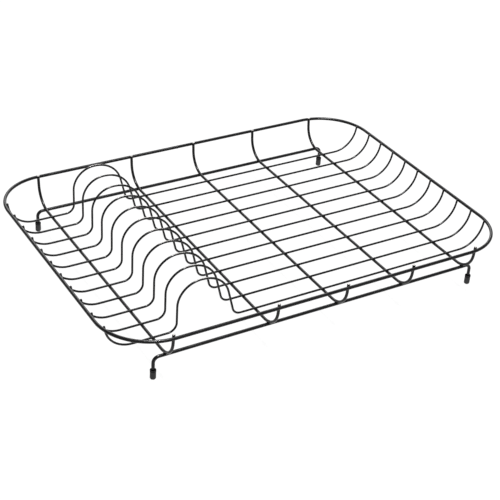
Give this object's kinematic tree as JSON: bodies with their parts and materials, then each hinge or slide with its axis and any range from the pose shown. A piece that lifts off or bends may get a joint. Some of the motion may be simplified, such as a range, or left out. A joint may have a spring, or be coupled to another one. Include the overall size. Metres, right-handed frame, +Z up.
{
  "type": "dish drying rack",
  "caption": "Low countertop dish drying rack of welded coated wire: humped plate wires, a flat tray floor, a rounded rim and capped wire feet.",
  "frame": {"origin": "on the table, under the middle of the rim", "axes": "+X along the rack's length, from the humped plate end towards the flat tray end; +Y across it to the rear; +Z up"},
  "size_m": [0.469, 0.342, 0.0837],
  "materials": {
    "coated_wire": "satin black powder coat on round steel wire",
    "foot_rubber": "matte dark grey moulded rubber"
  },
  "bodies": {
    "root": {"rim": "coated_wire", "cross_wire_1": "coated_wire", "cross_wire_2": "coated_wire", "cross_wire_3": "coated_wire", "cross_wire_4": "coated_wire", "cross_wire_5": "coated_wire", "plate_wire_1": "coated_wire", "plate_wire_2": "coated_wire", "plate_wire_3": "coated_wire", "plate_wire_4": "coated_wire", "plate_wire_5": "coated_wire", "plate_wire_6": "coated_wire", "plate_wire_7": "coated_wire", "plate_wire_8": "coated_wire", "plate_wire_9": "coated_wire", "plate_wire_10": "coated_wire", "plate_wire_11": "coated_wire", "front_leg_frame": "coated_wire", "rear_leg_frame": "coated_wire", "foot_cap_front_left": "foot_rubber", "foot_cap_front_right": "foot_rubber", "foot_cap_rear_left": "foot_rubber", "foot_cap_rear_right": "foot_rubber"}
  },
  "joints": []
}
